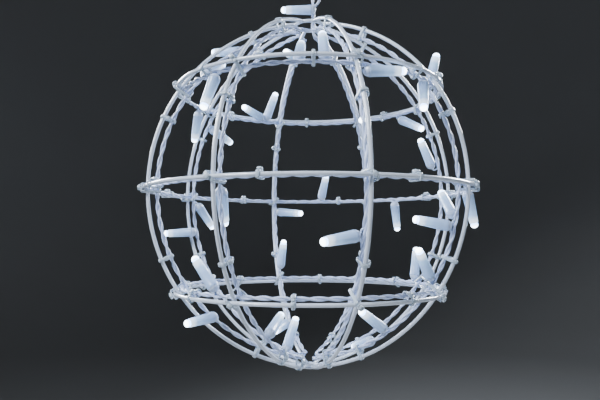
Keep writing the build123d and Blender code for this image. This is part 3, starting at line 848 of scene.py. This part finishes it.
def crossingTiePlace(rib, ring):
    point, ahead, side, out = ribStation(rib, latitudes[ring], 0)
    return placing(point, side + ahead, ahead - side)


def tieGroup(form, places, node):
    piece = joinPieces([copyTo(form, place) for place in places], node + "_pulled")
    dress(piece, tieNylon, "ball", "tie_nylon", node)


ribTiePlaces = [ribTiePlace(rib, *mark) for rib in ribNumbers for mark in ribTies]
ribTiePlaces += [ribTiePlace(rib, *mark) for rib, mark in poleTies.items()]
tieGroup(ribTieForm, ribTiePlaces, "rib_ties")
for ring in latitudes:
    ringTiePlaces = [ringTiePlace(ring, ribHeading(rib) + ringTieShift[ring]) for rib in ribNumbers]
    tieGroup(ringTieForm, ringTiePlaces, f"{ring}_ring_ties")
    tieGroup(crossingTieForm, [crossingTiePlace(rib, ring) for rib in ribNumbers], f"{ring}_crossing_ties")
for form in (ribTieForm, ringTieForm, crossingTieForm):
    bpy.data.objects.remove(form)
print("ties pulled")


# plain stage: a pale floor that curves up all round, from its rim down through heights and radii in metres
stage = {
    "floor": -0.8, "sides": 64, "smooth": 60,
    "cove": [(2.4, 3.4), (1.2, 3.4), (0.74, 3.3), (0.34, 3.05), (0.09, 2.65), (0.0, 2.2)],
    "colour": (0.54, 0.55, 0.56), "stain": (0.49, 0.5, 0.51), "roughness": 0.75, "cloudScale": 3, "cloudDetail": 4,
    "world": (0.4, 0.42, 0.44), "worldStrength": 0.1,
}
rimHeight, rimRadius = stage["cove"][0]
bpy.ops.mesh.primitive_circle_add(
    vertices=stage["sides"], radius=rimRadius, location=(0, 0, stage["floor"] + rimHeight)
)
floor = bpy.context.object
floor.name = "paleFloor"
applyPlace(floor)
bpy.ops.object.mode_set(mode="EDIT")
bpy.ops.mesh.select_all(action="SELECT")
drawRings(stage["cove"], 1, stage["floor"])
bpy.ops.mesh.edge_face_add()
bpy.ops.object.mode_set(mode="OBJECT")
smooth(floor, stage["smooth"])
floorMaterial, floorShader = newMaterial("paleFloor", stage["colour"], stage["roughness"])
floorPlace = floorMaterial.node_tree.nodes.new("ShaderNodeTexCoord")
floorCloud = addNode(
    floorMaterial, "ShaderNodeTexNoise", Scale=stage["cloudScale"], Detail=stage["cloudDetail"]
)
floorRamp = floorMaterial.node_tree.nodes.new("ShaderNodeValToRGB")
floorRamp.color_ramp.elements[0].color = (*stage["stain"], 1)
floorRamp.color_ramp.elements[1].color = (*stage["colour"], 1)
wire(floorMaterial, floorPlace, "Object", floorCloud, "Vector")
wire(floorMaterial, floorCloud, "Fac", floorRamp, "Fac")
wire(floorMaterial, floorRamp, "Color", floorShader, "Base Color")
floor.data.materials.append(floorMaterial)
world = bpy.data.worlds.new("studio")
bpy.context.scene.world = world
world.use_nodes = True
background = world.node_tree.nodes["Background"]
background.inputs["Color"].default_value = (*stage["world"], 1)
background.inputs["Strength"].default_value = stage["worldStrength"]

# soft lights, cool as the photo's, aimed at the ball; their spread keeps them off the cove
lightColour = (0.88, 0.93, 1.0)
lights = {
    "key": {"place": (-0.95, -0.8, 0.6), "size": 0.45, "power": 4.6, "spread": 60},
    "fill": {"place": (1.1, -0.8, -0.05), "size": 0.9, "power": 0.9, "spread": 60},
    "rimLeft": {"place": (-0.9, 1.0, 0.3), "size": 0.5, "power": 5.0, "spread": 60},
    "rimRight": {"place": (0.9, 1.0, 0.4), "size": 0.5, "power": 7.0, "spread": 60},
    "top": {"place": (0.0, -0.1, 1.1), "size": 1.0, "power": 1.4, "spread": 100},
}
for name, values in lights.items():
    bpy.ops.object.light_add(type="AREA", location=values["place"])
    light = bpy.context.object
    light.name = name
    light.data.size = values["size"]
    light.data.energy = values["power"]
    light.data.spread = radians(values["spread"])
    light.data.color = lightColour
    aim = ballCentre * mm - Vector(values["place"])
    light.rotation_euler = aim.to_track_quat("-Z", "Y").to_euler()
print("stage lit")
